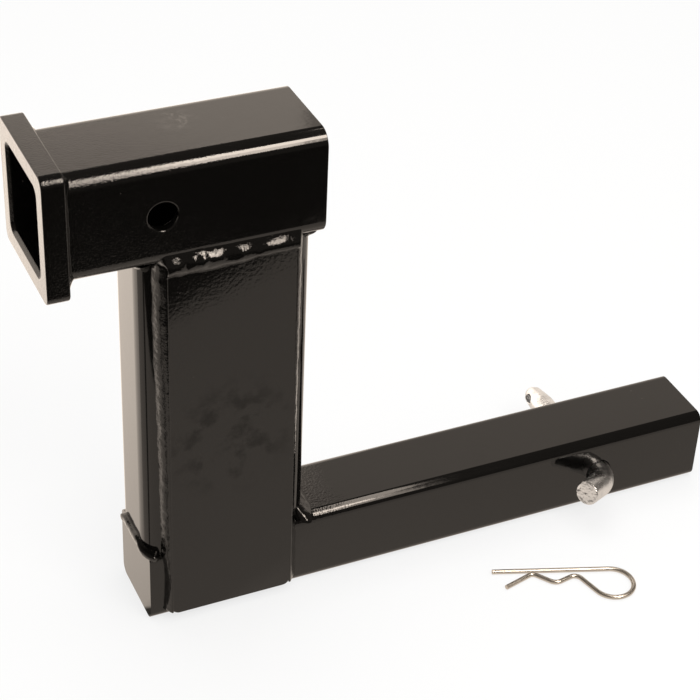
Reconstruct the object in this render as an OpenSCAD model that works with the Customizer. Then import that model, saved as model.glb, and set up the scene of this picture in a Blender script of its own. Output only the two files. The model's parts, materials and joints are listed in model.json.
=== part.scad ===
// Raised receiver adapter for a towing hitch: a square receiver tube on a rectangular
// upright, welded to a square shank, with its bent hitch pin and the pin's spring clip.
// The shank lies along X with its free end at +X, and the receiver's mouth faces -X.
// The origin is on the shank's underside, below the middle of the upright.

/* [Receiver] */
// Outside width and height of the square receiver tube
receiver_w = 63.5; // [58:0.1:77]
// Clear width inside the receiver tube, for a 2 inch shank with play
socket_w = 52.4; // [50:0.1:54]
// Length of the receiver tube, mouth to open rear end
receiver_len = 158.75; // [145:1:260]
// Outside corner radius of the receiver tube
receiver_corner = 9.5; // [7:0.5:12]
// Inside corner radius of the receiver tube
socket_corner = 4; // [2:0.5:5]
// From the mouth to the centre of the receiver's pin hole
receiver_hole_x = 66; // [40:1:100]
// How far the receiver tube reaches past the upright at its rear end
receiver_tail = 2.95; // [0:0.5:40]

/* [Collar] */
// Thickness of the flat bar that goes round the mouth
collar_t = 6.35; // [4:0.25:10]
// Width of the flat bar, along the tube
collar_len = 12.7; // [8:0.5:25]
// Outside corner radius of the collar
collar_corner = 6; // [3:0.5:10]
// Bevel round the inside edge of the mouth
mouth_bevel = 1.9; // [0.5:0.1:3]

/* [Upright] */
// Length of the rectangular upright's section, along the shank
upright_len = 101.6; // [80:1:130]
// How much wider the upright is than the shank, across both its sides
upright_extra_w = 0; // [0:0.05:0.5]
// Wall of the upright
upright_wall = 6.35; // [4:0.25:8]
// Outside corner radius of the upright
upright_corner = 13.5; // [8:0.5:16]
// Height of the upright between the shank and the receiver
upright_h = 203.2; // [100:1:300]

/* [Side plates] */
// Width of each side plate
plate_w = 76.2; // [50:0.5:80]
// Thickness of each side plate
plate_t = 6.35; // [4:0.25:8]
// Height of the plates' lower ends above the shank's underside
plate_lift = 6.35; // [3:0.5:12]
// Radius of the plates' lower corners
plate_corner = 5; // [1:0.5:12]

/* [Shank] */
// Outside width and height of the square shank tube
shank_w = 50.8; // [42:0.1:61]
// Wall of the shank tube
shank_wall = 6.35; // [4:0.25:8]
// Outside corner radius of the shank tube
shank_corner = 6.2; // [4:0.2:9]
// Length of the shank tube
shank_len = 381; // [300:1:500]
// How far the shank's closed end is set back from the upright's left face
shank_inset = 1.3; // [0:0.1:3]
// From the shank's free end to the centre of its pin hole
shank_hole_x = 74.6; // [40:0.1:100]
// Thickness of the flat cap let into the shank's left end
cap_t = 6.35; // [3:0.25:10]

/* [Hitch pin] */
// Diameter of the hitch pin
pin_d = 15.875; // [12:0.125:16]
// Play between the pin and the holes it goes through, all round
pin_play = 0.41; // [0.1:0.01:0.6]
// Width of the rounded rim of the pin holes
hole_rim = 1.2; // [0.4:0.1:2]
// Radius of the pin's bend, to its centre line
pin_bend_r = 18; // [14:0.5:30]
// Angle of the pin's bend
pin_bend = 61; // [30:1:90]
// Straight length of the pin's handle past the bend
pin_handle = 14.8; // [8:0.1:60]
// Turn of the whole pin about its own axis, lifting the handle
pin_turn = 12; // [-45:1:45]
// How far the pin's tip stands past the far side of the shank
pin_reach = 41.6; // [34:0.1:70]
// Length of the tapered tip
pin_taper_len = 16; // [8:0.5:24]
// Diameter at the small end of the taper
pin_tip_d = 12.3; // [8:0.1:15]
// Length of the blunt chamfer at the tip
pin_tip_chamfer = 3; // [1:0.25:4]
// Diameter of the cross hole for the clip
clip_hole_d = 6; // [4.5:0.1:7]
// From the pin's tip to the centre of the cross hole
clip_hole_end = 7; // [6:0.1:14]

/* [Pin clip] */
// Diameter of the clip's spring wire
wire_d = 3; // [2:0.1:4]
// Length of the clip's straight leg, up to the loop
clip_leg = 74; // [62:1:90]
// Centre line radius of the clip's loop
clip_loop_r = 13.1; // [10:0.1:16]
// Where the leg's free end lies on the ground, along and across the shank
clip_x = 161.6; // [100:0.1:300]
// Distance of the leg's free end from the shank's centre line
clip_y = -63.4; // [-150:0.1:-60]
// Direction of the straight leg on the ground
clip_turn = -19.3; // [-90:0.1:90]

/* [Welds] */
// Width of the welds beside the plates, from plate to tube
side_weld = 8; // [5:0.25:9]
// Height of the welds under the receiver, from seam to toe
top_weld = 8; // [5:0.25:10]
// Leg of the fillet weld behind the collar
collar_weld_leg = 4; // [3:0.25:6]
// Leg of the fillet welds between upright, shank and receiver
fillet_leg = 7; // [4:0.25:8]
// Distance from one ripple of a weld to the next
ripple_pitch = 6; // [5:0.5:16]
// Height of the ripples, as a share of the weld's size
ripple_share = 0.08; // [0:0.01:0.15]

/* [Hidden] */
$fn = 64;

PAINT = "#2a2826";
WELD_PAINT = "#3a3734";
ZINC = "#cfccc5";
WIRE = "#a9a29a";

// Reaches past a face that is cut through
past = 1;
// The upright's width follows the shank's, because the side plates lie against both
upright_w = shank_w + upright_extra_w;
upright_x0 = -upright_len / 2;
upright_x1 = upright_len / 2;
upright_z0 = shank_w;
upright_z1 = upright_z0 + upright_h;
// Side plates, centred on the upright and flat against its sides
plate_x0 = -plate_w / 2;
plate_x1 = plate_w / 2;
plate_y = upright_w / 2;
plate_h = upright_z1 - plate_lift;
// Receiver tube, standing on the upright
receiver_x1 = upright_x1 + receiver_tail;
receiver_x0 = receiver_x1 - receiver_len;
receiver_z = upright_z1 + receiver_w / 2;
collar_w = receiver_w + 2 * collar_t;
collar_back_x = receiver_x0 + collar_len;
// Shank, set back a little from the upright's face at its closed end
shank_x0 = upright_x0 + shank_inset;
shank_x1 = shank_x0 + shank_len;
shank_bore_w = shank_w - 2 * shank_wall;
shank_bore_corner = max(1, shank_corner - shank_wall);
upright_bore_corner = max(1, upright_corner - upright_wall);
// Hitch pin and its holes
pin_hole_d = pin_d + 2 * pin_play;
pin_x = shank_x1 - shank_hole_x;
pin_z = shank_w / 2;
pin_bend_start = -shank_w / 2 + 1.4;
pin_tip = shank_w / 2 + pin_reach;
pin_end_chamfer = 0.8;
clip_hole_chamfer = 0.6;
// A straight stretch of bent rod reaches this far into the bends beside it, which are
// this much thicker all round, so that the two join without touching surfaces
seam_lap = 0.2;
seam_step = 0.02;

// Rounded rectangle about the origin
module rounded_rect(w, h, r) {
    square([w - 2 * r, h], center = true);
    square([w, h - 2 * r], center = true);
    for (x = [-1, 1], y = [-1, 1])
        translate([x * (w / 2 - r), y * (h / 2 - r)]) circle(r);
}

// Square bar along X from x0 to x1, centred on the height z
module bar_x(x0, x1, z, w, r) {
    translate([x0, 0, z]) rotate([90, 0, 90])
        linear_extrude(x1 - x0) rounded_rect(w, w, r);
}

// Cutter for a pin hole across a square tube, with a rounded rim at each side
module pin_hole(x, z, tube_w) {
    r = pin_hole_d / 2;
    translate([x, 0, z]) rotate([90, 0, 0]) {
        cylinder(h = tube_w + 2 * past, r = r, center = true);
        for (side = [0, 1]) mirror([0, 0, side])
            translate([0, 0, tube_w / 2 - hole_rim]) difference() {
                cylinder(h = hole_rim + past, r = r + hole_rim);
                rotate_extrude() translate([r + hole_rim, 0]) circle(hole_rim);
            }
    }
}

// Frustum that bevels a rounded square opening, wide at its low X end
module square_bevel(x, z, w, r, depth) {
    wide = w / 2 + depth;
    flat = w / 2 - r;
    outline = [[-past, wide + past], [depth, w / 2], [depth, -w / 2], [-past, -wide - past]];
    translate([x, 0, z]) {
        translate([0, flat, 0]) rotate([90, 0, 0]) linear_extrude(2 * flat) polygon(outline);
        translate([0, 0, -flat]) linear_extrude(2 * flat) polygon(outline);
        for (y = [-1, 1], k = [-1, 1]) translate([-past, y * flat, k * flat])
            rotate([0, 90, 0]) cylinder(h = depth + past, r1 = r + depth + past, r2 = r);
    }
}

// Solid outlines of the tubes, used to seat the welds on them
module receiver_block() {
    bar_x(receiver_x0, receiver_x1, receiver_z, receiver_w, receiver_corner);
}

module upright_block() {
    translate([0, 0, upright_z0]) linear_extrude(upright_h)
        rounded_rect(upright_len, upright_w, upright_corner);
}

module shank_block() {
    bar_x(shank_x0, shank_x1, shank_w / 2, shank_w, shank_corner);
}

module receiver_tube() {
    color(PAINT) difference() {
        receiver_block();
        bar_x(receiver_x0 - past, receiver_x1 + past, receiver_z, socket_w, socket_corner);
        square_bevel(receiver_x0, receiver_z, socket_w, socket_corner, mouth_bevel);
        pin_hole(receiver_x0 + receiver_hole_x, receiver_z, receiver_w);
    }
}

module receiver_collar() {
    color(PAINT) difference() {
        bar_x(receiver_x0, collar_back_x, receiver_z, collar_w, collar_corner);
        bar_x(receiver_x0 - past, collar_back_x + past, receiver_z, receiver_w, receiver_corner);
    }
}

module upright_tube() {
    color(PAINT) difference() {
        upright_block();
        translate([0, 0, upright_z0 - past]) linear_extrude(upright_h + 2 * past)
            rounded_rect(upright_len - 2 * upright_wall, upright_w - 2 * upright_wall,
                upright_bore_corner);
    }
}

// Flat bar with rounded lower corners, on the -Y side
module plate() {
    translate([0, -plate_y, plate_lift]) rotate([90, 0, 0]) linear_extrude(plate_t) {
        translate([plate_x0, plate_corner]) square([plate_w, plate_h - plate_corner]);
        translate([plate_x0 + plate_corner, 0]) square([plate_w - 2 * plate_corner, plate_h / 2]);
        for (x = [plate_x0 + plate_corner, plate_x1 - plate_corner])
            translate([x, plate_corner]) circle(plate_corner);
    }
}

module near_side_plate() {
    color(PAINT) plate();
}

module far_side_plate() {
    color(PAINT) mirror([0, 1, 0]) plate();
}

module shank_tube() {
    color(PAINT) difference() {
        shank_block();
        bar_x(shank_x0 - past, shank_x1 + past, shank_w / 2, shank_bore_w, shank_bore_corner);
        pin_hole(pin_x, pin_z, shank_w);
    }
}

module shank_end_cap() {
    color(PAINT) bar_x(shank_x0, shank_x0 + cap_t, shank_w / 2, shank_bore_w, shank_bore_corner);
}

// Surface through rings that all have the same number of points.
// Seen from the last ring, the points of each ring run anticlockwise.
module skin(rings, closed = false) {
    n = len(rings[0]);
    m = len(rings);
    sides = [for (i = [0 : m - (closed ? 1 : 2)], j = [0 : n - 1])
        let (a = i * n, b = (i + 1) % m * n, k = (j + 1) % n)
            each [[a + j, b + j, b + k], [a + j, b + k, a + k]]];
    ends = closed ? [] : [for (j = [1 : n - 2])
        each [[0, j, j + 1], [(m - 1) * n, (m - 1) * n + j + 1, (m - 1) * n + j]]];
    polyhedron(points = [for (r = rings) each r], faces = concat(sides, ends));
}

// Ripples of a weld: three rings each, a quick rise and a slow fall
ring_step = ripple_pitch / 3;
function ripple(i) = 1 + ripple_share * [-0.5, 0.5, 0][i % 3];

// Number of whole ring steps in a length
function steps(length) = max(3, round(length / ring_step));

// A ring of a weld. A station is [place, out, up, forward]; crown and back hold [out, up]
// pairs. The crown is scaled by size and its middle leads by lead, as a weld pool does.
function weld_ring(station, crown, back, size, lead) = concat(
    [for (i = [0 : len(crown) - 1])
        let (side = 2 * i / (len(crown) - 1) - 1)
            station[0] + size * (station[1] * crown[i][0] + station[2] * crown[i][1])
                + station[3] * lead * (1 - side * side)],
    [for (p = back) station[0] + station[1] * p[0] + station[2] * p[1]]);

// Rings of a whole weld, which starts and ends smaller than it runs
function weld_rings(stations, crown, back) =
    let (last = len(stations) - 1)
        [for (i = [0 : last])
            let (end = (i == 0 || i == last), size = end ? 0.8 : ripple(i))
                weld_ring(stations[i], crown, back, size, end ? 0 : ring_step * 0.6)];

// Weld between a plate's edge and the tubes: [away from the plate, out from the tube]
side_crown = [[side_weld + 0.2, -3.6], [side_weld - 0.6, -0.4], [side_weld - 2.3, 2.6],
    [side_weld - 4.4, 5.3], [1.2, 7.2], [-1.2, 7.4], [-2.6, 6]];
side_back = [[-2, -2], [3.5, -5.5]];

// Weld between a plate's top and the receiver's round corner:
// [out from the plate's face, up from the seam]
top_crown = [[-0.6, top_weld], [1.2, top_weld - 2.2], [2.2, top_weld - 5.5], [2.3, 0],
    [1.8, -3.4], [0.9, -top_weld + 2], [-0.6, -top_weld]];
top_back = [[-plate_t + 2, -top_weld / 2], [-plate_t - 0.5, 0], [-plate_t, 4]];

// Half-space on the outer side of the mitre where a side weld meets the top weld
module mitre(sign) {
    reach = 60;
    low_x = plate_x0 + 2.6;
    turn = atan2(2 * top_weld, side_weld + 2.6);
    translate([low_x, -plate_y - plate_t, upright_z1 - top_weld])
        rotate([0, turn - 90, 0])
            translate([sign < 0 ? -reach : 0, -reach / 2, -reach]) cube([reach, reach, 2 * reach]);
}

// Everything a weld beside or above the near plate is seated on
module near_seats() {
    plate();
    receiver_block();
    upright_block();
    shank_block();
}

// Left weld of the near plate, from the plate's lower corner up to the receiver
module side_weld_left() {
    z0 = plate_lift + plate_corner / 2;
    z1 = upright_z1 + top_weld + 2;
    n = steps(z1 - z0);
    stations = [for (i = [0 : n])
        [[plate_x0, -plate_y, z0 + (z1 - z0) * i / n], [-1, 0, 0], [0, -1, 0], [0, 0, 1]]];
    difference() {
        skin(weld_rings(stations, side_crown, side_back));
        near_seats();
        mitre(1);
    }
}

// Top weld of the near plate, between the side welds
module top_weld_near() {
    x0 = plate_x0 - side_weld - 2;
    n = steps(-2 * x0);
    stations = [for (i = [0 : n])
        [[x0 * (1 - 2 * i / n), -plate_y - plate_t, upright_z1], [0, -1, 0], [0, 0, 1], [1, 0, 0]]];
    difference() {
        skin(weld_rings(stations, top_crown, top_back));
        near_seats();
        mitre(-1);
        mirror([1, 0, 0]) mitre(-1);
    }
}

module near_plate_left_weld() {
    color(WELD_PAINT) side_weld_left();
}

module near_plate_right_weld() {
    color(WELD_PAINT) mirror([1, 0, 0]) side_weld_left();
}

module near_plate_top_weld() {
    color(WELD_PAINT) top_weld_near();
}

module far_plate_left_weld() {
    color(WELD_PAINT) mirror([0, 1, 0]) side_weld_left();
}

module far_plate_right_weld() {
    color(WELD_PAINT) mirror([1, 0, 0]) mirror([0, 1, 0]) side_weld_left();
}

module far_plate_top_weld() {
    color(WELD_PAINT) mirror([0, 1, 0]) top_weld_near();
}

// Fillet weld round the tube, behind the collar
module collar_weld() {
    leg = collar_weld_leg;
    profile = [[0, 0], [leg, 0], [leg * 0.78, leg * 0.42], [leg * 0.42, leg * 0.78], [0, leg]];
    flat = receiver_w - 2 * receiver_corner;
    color(WELD_PAINT) translate([collar_back_x, 0, receiver_z]) rotate([0, 90, 0])
        for (k = [0 : 3]) rotate([0, 0, 90 * k]) {
            translate([receiver_w / 2, -flat / 2, 0]) rotate([90, 0, 180])
                mirror([1, 0, 0]) linear_extrude(flat) polygon(profile);
            translate([flat / 2, flat / 2, 0]) rotate_extrude(angle = 90)
                translate([receiver_corner, 0]) polygon(profile);
        }
}

// Cross section of a fillet weld: [out from the wall, up from the floor]
fillet_crown = [[fillet_leg + 0.3, -0.4], [fillet_leg * 0.92, fillet_leg * 0.22],
    [fillet_leg * 0.68, fillet_leg * 0.56], [fillet_leg * 0.42, fillet_leg * 0.8],
    [fillet_leg * 0.15, fillet_leg * 0.98], [-0.4, fillet_leg + 0.3]];
fillet_back = [[-1.5, -1.5]];

// Cross section of the bead over the seam at the shank's closed end, from the end face up
seam_crown = [[-0.5 - shank_inset, -fillet_leg * 0.8], [0.6, -fillet_leg * 0.6],
    [1.9, -fillet_leg * 0.15], [2.2, fillet_leg * 0.25], [1.2, fillet_leg * 0.65],
    [-0.5, fillet_leg * 0.85]];
seam_back = [[-1.5 - shank_inset, 0]];

// Stations of a weld round the upright's foot, on the side with this sign of X. The weld
// runs over the flat face and turns by wrap round both corners, where it grows outwards
// by swell and sinks by drop to cover the edge of the shank.
function foot_stations(sign_x, wrap, swell, drop) =
    let (r = upright_corner, flat = upright_w / 2 - r, half = flat + r * wrap * PI / 180,
        n = steps(2 * half))
            [for (i = [0 : n])
                let (t = half * (2 * i / n - 1), side = -sign_x * sign(t),
                    a = max(0, abs(t) - flat) * 180 / PI / r,
                    out = [sign_x * cos(a), side * sin(a), 0],
                    centre = [sign_x * (upright_len / 2 - r), side * min(abs(t), flat),
                        upright_z0 - drop * sin(a)])
                        [centre + r * out, (1 + swell * sin(a)) * out, [0, 0, 1],
                            cross(out, [0, 0, 1])]];

// Fillet weld on top of the shank, drawn in round the upright's corners
module upright_foot_right_weld() {
    color(WELD_PAINT) difference() {
        skin(weld_rings(foot_stations(1, 36, -0.3, 2), fillet_crown, fillet_back));
        upright_block();
        shank_block();
    }
}

// Bead over the seam at the closed end, which covers the ledges at the upright's corners
// and stops just short of the side welds
module upright_foot_left_weld() {
    stop_x = plate_w / 2 + side_weld * (1 + ripple_share) + 0.4;
    color(WELD_PAINT) difference() {
        skin(weld_rings(foot_stations(-1, 48, 1.6, 3), seam_crown, seam_back));
        upright_block();
        shank_block();
        for (side = [0, 1]) mirror([0, side, 0])
            translate([-stop_x, upright_w / 2 - 6, 0]) cube([stop_x, 20, 2 * upright_z0]);
    }
}

// Fillet weld in the corner between the upright's left face and the receiver's underside
module upright_top_left_weld() {
    half = upright_w / 2 - upright_corner / 2;
    n = steps(2 * half);
    stations = [for (i = [0 : n])
        [[upright_x0, half * (1 - 2 * i / n), upright_z1], [-1, 0, 0], [0, 0, -1], [0, -1, 0]]];
    color(WELD_PAINT) difference() {
        skin(weld_rings(stations, fillet_crown, fillet_back));
        upright_block();
        receiver_block();
    }
}

// The receiver ends just past the upright, so this bead stays on its underside
module upright_top_right_weld() {
    leg = max(1.5, receiver_tail);
    half = upright_w / 2 - upright_corner / 2;
    color(WELD_PAINT) translate([upright_x1, half, upright_z1]) rotate([90, 0, 0])
        linear_extrude(2 * half) polygon([[0, 0], [0, -leg], [leg * 0.7, -leg * 0.7], [leg, 0]]);
}

// Bent pin: its own axis runs along Z here, with the tip up
module pin_body() {
    r = pin_d / 2;
    tip_r = pin_tip_d / 2;
    rotate_extrude() polygon([[0, pin_bend_start - seam_lap], [r, pin_bend_start - seam_lap],
        [r, pin_tip - pin_taper_len], [tip_r, pin_tip - pin_tip_chamfer],
        [tip_r - pin_tip_chamfer * 0.6, pin_tip], [0, pin_tip]]);
    translate([-pin_bend_r, 0, pin_bend_start]) rotate([90, 0, 0]) rotate([0, 0, -pin_bend])
        rotate_extrude(angle = pin_bend) translate([pin_bend_r, 0]) circle(r + seam_step);
    translate([-pin_bend_r * (1 - cos(pin_bend)), 0, pin_bend_start - pin_bend_r * sin(pin_bend)])
        rotate([0, 180 + pin_bend, 0]) {
            translate([0, 0, -seam_lap])
                cylinder(h = pin_handle - pin_end_chamfer + seam_lap, r = r);
            translate([0, 0, pin_handle - pin_end_chamfer])
                cylinder(h = pin_end_chamfer, r1 = r, r2 = r - pin_end_chamfer);
        }
}

module hitch_pin() {
    hole_r = clip_hole_d / 2;
    rim_x = pin_tip_d / 2 - clip_hole_chamfer;
    color(ZINC) translate([pin_x, 0, pin_z]) rotate([0, pin_turn, 0]) rotate([-90, 0, 0])
        difference() {
            pin_body();
            translate([0, 0, pin_tip - clip_hole_end]) rotate([0, 90, 0]) {
                cylinder(h = pin_d + 2 * past, r = hole_r, center = true);
                for (side = [0, 1]) mirror([0, 0, side]) translate([0, 0, rim_x])
                    cylinder(h = 2 * past, r1 = hole_r, r2 = hole_r + 2 * past);
            }
        }
}

// Where each straight stretch of a bent wire starts: [place, heading]. A move is
// [straight length, bend radius, bend angle], and the last bend is left out.
function wire_starts(moves, i = 0, place = [0, 0], heading = 0) =
    let (way = [cos(heading), sin(heading)], r = moves[i][1], turn = moves[i][2],
        centre = place + way * moves[i][0] + sign(turn) * r * [-way[1], way[0]],
        after = centre + sign(turn) * r * [sin(heading + turn), -cos(heading + turn)])
            i == len(moves) - 1 ? [[place, heading]]
                : concat([[place, heading]], wire_starts(moves, i + 1, after, heading + turn));

// Round wire in the ground plane, bent to the given moves, with chamfered ends
module wire(moves, d) {
    starts = wire_starts(moves);
    last = len(moves) - 1;
    straight_r = d / 2 - seam_step;
    chamfer = d / 6;
    for (i = [0 : last]) translate(starts[i][0]) rotate([0, 0, starts[i][1]]) {
        length = moves[i][0];
        turn = moves[i][2];
        from = i == 0 ? chamfer : -seam_lap;
        to = i == last ? length - chamfer : length + seam_lap;
        rotate([0, 90, 0]) {
            translate([0, 0, from]) cylinder(h = to - from, r = straight_r);
            if (i == 0) cylinder(h = chamfer, r1 = straight_r - chamfer, r2 = straight_r);
            if (i == last) translate([0, 0, to])
                cylinder(h = chamfer, r1 = straight_r, r2 = straight_r - chamfer);
        }
        if (i < last) translate([length, sign(turn) * moves[i][1]])
            rotate([0, 0, turn > 0 ? -90 : 90 + turn]) rotate_extrude(angle = abs(turn))
                translate([moves[i][1], 0]) circle(d / 2);
    }
}

// Clip lying on the ground: straight leg, round loop, then the wavy leg that
// grips the pin in its hollow and flares out at its tip
module pin_clip() {
    moves = [[clip_leg, clip_loop_r, 237], [14.5, 5, -86.4], [7.6, 6, 64.6],
        [9.9, 4, -68.7], [18.9, 0, 0]];
    color(WIRE) translate([clip_x, clip_y, wire_d / 2]) rotate([0, 0, clip_turn])
        mirror([0, 1, 0]) wire(moves, wire_d);
}

receiver_tube();
receiver_collar();
collar_weld();
upright_tube();
near_side_plate();
far_side_plate();
shank_tube();
shank_end_cap();
near_plate_top_weld();
near_plate_left_weld();
near_plate_right_weld();
far_plate_top_weld();
far_plate_left_weld();
far_plate_right_weld();
upright_top_left_weld();
upright_top_right_weld();
upright_foot_left_weld();
upright_foot_right_weld();
hitch_pin();
pin_clip();
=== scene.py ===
# %% [markdown]
# # A raised trailer hitch receiver
#
# This lesson dresses a welded steel towing adapter. The tubes, plates, pin and clip come
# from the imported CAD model. Here the steel gets its broken edges and its gloss black powder
# coat, the welds get their ripples, and the pin and clip get their zinc and bright wire.

# %% Load the frame
import json
import math

import bmesh
import bpy
import numpy as np
from mathutils import Matrix, Vector

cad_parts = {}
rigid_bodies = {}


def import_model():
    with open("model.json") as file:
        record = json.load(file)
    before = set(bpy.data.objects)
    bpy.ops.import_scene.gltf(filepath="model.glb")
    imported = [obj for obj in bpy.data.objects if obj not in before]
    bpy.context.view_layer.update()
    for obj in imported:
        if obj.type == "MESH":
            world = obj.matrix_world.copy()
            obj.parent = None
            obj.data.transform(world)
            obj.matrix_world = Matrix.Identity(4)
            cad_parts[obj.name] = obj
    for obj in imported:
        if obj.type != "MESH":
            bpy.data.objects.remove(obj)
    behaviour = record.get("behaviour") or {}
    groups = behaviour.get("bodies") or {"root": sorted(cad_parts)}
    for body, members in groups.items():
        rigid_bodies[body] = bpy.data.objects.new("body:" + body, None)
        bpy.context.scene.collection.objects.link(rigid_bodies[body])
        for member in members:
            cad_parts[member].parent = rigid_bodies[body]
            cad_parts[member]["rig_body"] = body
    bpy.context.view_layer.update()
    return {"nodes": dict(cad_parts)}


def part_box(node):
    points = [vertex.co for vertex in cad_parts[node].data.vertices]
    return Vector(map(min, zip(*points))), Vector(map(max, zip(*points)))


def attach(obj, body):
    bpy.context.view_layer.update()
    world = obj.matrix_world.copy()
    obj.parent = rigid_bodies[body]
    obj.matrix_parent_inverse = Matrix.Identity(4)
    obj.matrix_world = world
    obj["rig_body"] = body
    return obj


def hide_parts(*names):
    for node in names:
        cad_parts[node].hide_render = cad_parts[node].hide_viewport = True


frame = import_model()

MM = 0.001

# %% [markdown]
# ## The photograph's camera
#
# The camera was fitted to the edges of the tubes, so it is set from the fitted numbers: where
# it stands, which way it looks, how much it leans to one side, and how long its lens is.

# %% Camera
CAMERA_PLACE = Vector((-328.3, -867.7, 829.2)) * MM
CAMERA_AZIMUTH = math.radians(-25.555)
CAMERA_ELEVATION = math.radians(35.2914)
CAMERA_ROLL = math.radians(2.6753)
PHOTO_FOCAL_PX = 1991.09
PHOTO_SIZE_PX = 700
SENSOR_WIDTH = 36


def add_object(name, data):
    """A new object at the origin, linked to the scene."""
    made = bpy.data.objects.new(name, data)
    bpy.context.scene.collection.objects.link(made)
    return made


def camera_axes():
    """The camera's right, up and backward directions."""
    back = Vector((math.sin(CAMERA_AZIMUTH) * math.cos(CAMERA_ELEVATION),
                   -math.cos(CAMERA_AZIMUTH) * math.cos(CAMERA_ELEVATION),
                   math.sin(CAMERA_ELEVATION)))
    level = Vector((math.cos(CAMERA_AZIMUTH), math.sin(CAMERA_AZIMUTH), 0))
    upright = back.cross(level)
    right = level * math.cos(CAMERA_ROLL) + upright * math.sin(CAMERA_ROLL)
    return right, back.cross(right), back


camera_data = bpy.data.cameras.new("photo_camera")
camera_data.sensor_width = SENSOR_WIDTH
camera_data.lens = SENSOR_WIDTH * PHOTO_FOCAL_PX / PHOTO_SIZE_PX
camera = add_object("photo_camera", camera_data)
turn = Matrix(camera_axes()).transposed().to_4x4()
camera.matrix_world = Matrix.Translation(CAMERA_PLACE) @ turn
bpy.context.scene.camera = camera
bpy.context.scene.view_settings.view_transform = "Standard"
print("lens", round(camera_data.lens, 1), "mm")

# %% [markdown]
# ## Helpers for nodes and colours
#
# Every node tree is made with the same small function, which sets a node's properties and
# fills or links its sockets. Colours are written as they look on a screen and turned to the
# linear values that the renderer counts in.

# %% Node and colour helpers
def linear(hex_colour, strength=1.0):
    """An sRGB hex colour as linear RGBA."""
    channels = [int(hex_colour[i:i + 2], 16) / 255 for i in (1, 3, 5)]
    return tuple(strength * (c / 12.92 if c <= 0.04045 else ((c + 0.055) / 1.055) ** 2.4)
                 for c in channels) + (1.0,)


def add_node(tree, kind, sockets=None, **settings):
    """Adds a node. Its sockets get values, outputs, or whole nodes for their first output."""
    node = tree.nodes.new(kind)
    for name, value in settings.items():
        setattr(node, name, value)
    for key, value in (sockets or {}).items():
        if isinstance(value, bpy.types.Node):
            value = value.outputs[0]
        if isinstance(value, bpy.types.NodeSocket):
            tree.links.new(value, node.inputs[key])
        else:
            node.inputs[key].default_value = value
    return node


def new_material(name):
    """An empty material and its node tree."""
    material = bpy.data.materials.new(name)
    material.use_nodes = True
    material.node_tree.nodes.clear()
    return material, material.node_tree


WHITE = linear("#ffffff")
print("white in linear values:", WHITE)

# %% [markdown]
# ## Gloss black powder coat
#
# The frame is mild steel, blasted, sprayed with black powder and baked. The powder flows to a
# thick, glossy skin with a faint orange peel, a few millimetres from crest to crest, and a
# few specks of dust. Near the welds the heat leaves the steel slightly wavy. Black gloss
# shows little colour of its own: what the eye sees is the white studio reflected in it.

# %% Spatter and marks on the coat
def spattered(tree, place, surface, spatter):
    """The surface under weld spatter, which fades out on both sides of its seam."""
    way = add_node(tree, "ShaderNodeSeparateXYZ", {0: place}).outputs[spatter["axis"]]
    past = add_node(tree, "ShaderNodeMath", {0: way, 1: spatter["seam"]}, operation="SUBTRACT")
    off = add_node(tree, "ShaderNodeMath", {0: past}, operation="ABSOLUTE")
    fading = add_node(tree, "ShaderNodeMapRange", {
        "Value": off, "From Min": 0.0, "From Max": spatter["reach"],
        "To Min": spatter["height"], "To Max": 0.0})
    grains = add_node(tree, "ShaderNodeTexNoise", {
        "Vector": place, "Scale": 1 / spatter["grain"], "Detail": 2.0, "Roughness": 0.5})
    return add_node(tree, "ShaderNodeBump", {
        "Height": grains, "Distance": fading, "Strength": 1.0, "Normal": surface})


def mark_mask(tree, place, mark):
    """A blotchy mask: 1 where the coat is marked, fading to 0 at the mark's reach."""
    away = add_node(tree, "ShaderNodeVectorMath", {
        0: place, 1: mark["centre"]}, operation="DISTANCE").outputs["Value"]
    inside = add_node(tree, "ShaderNodeMapRange", {
        "Value": away, "From Min": 0.5 * mark["reach"], "From Max": mark["reach"],
        "To Min": 1.0, "To Max": 0.0})
    cloud = add_node(tree, "ShaderNodeTexNoise", {
        "Vector": place, "Scale": 1 / (0.3 * mark["reach"]), "Detail": 4.0, "Roughness": 0.6})
    blotch = add_node(tree, "ShaderNodeMapRange", {
        "Value": cloud, "From Min": 0.48, "From Max": 0.62})
    return add_node(tree, "ShaderNodeMath", {0: inside, 1: blotch}, operation="MULTIPLY")


BLACK = "#090807"
DUST = "#3a3632"
print("black in linear values:", linear(BLACK))

# %% Powder coat
ORANGE_PEEL = 2.6 * MM
HEAT_WAVE = 11 * MM
WELD_LUMP = 1.2 * MM
SMEAR = 30 * MM
DUST_SPACING = 14 * MM


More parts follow.
